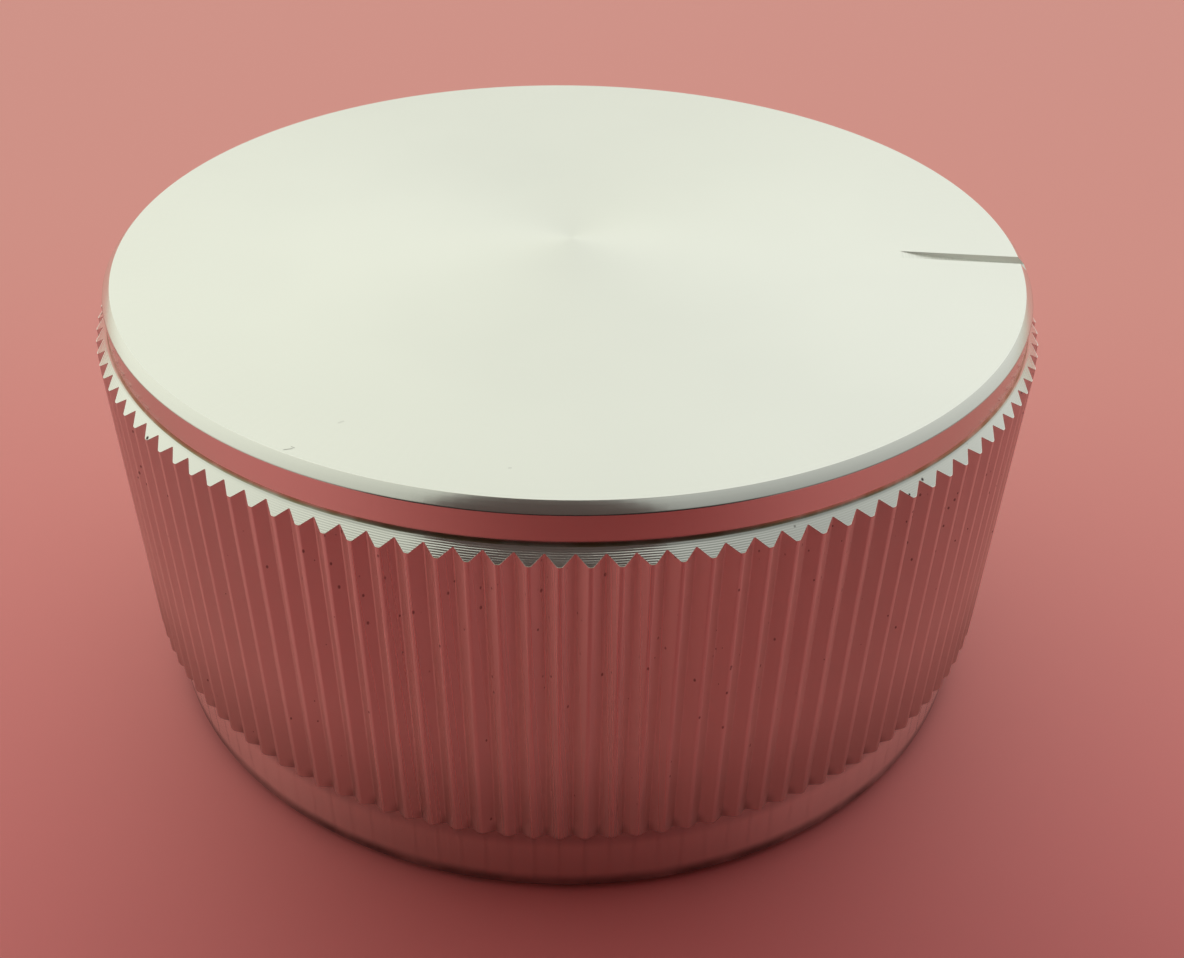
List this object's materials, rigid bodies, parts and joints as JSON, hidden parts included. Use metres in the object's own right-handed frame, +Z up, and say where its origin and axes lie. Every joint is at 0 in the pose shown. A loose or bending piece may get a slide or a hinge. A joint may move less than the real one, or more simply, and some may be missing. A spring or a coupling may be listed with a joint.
{
  "type": "potentiometer knob",
  "caption": "Turned aluminium control knob with a straight-knurled side, stepped neck, flat spun face with a pointer slot, and a shaft bore clamped by a set screw.",
  "frame": {"origin": "centre of the underside, on the knob's axis", "axes": "+Z up the knob's axis to the face, +X along the pointer slot, set screw on the -X side"},
  "size_m": [0.04, 0.04, 0.0195],
  "materials": {
    "turned_aluminium": "bare turned metal: spun face, polished neck and bevel, knurled side",
    "screw_steel": "black oxide"
  },
  "bodies": {
    "root": {"knob_body": "turned_aluminium", "set_screw": "screw_steel"}
  },
  "joints": []
}
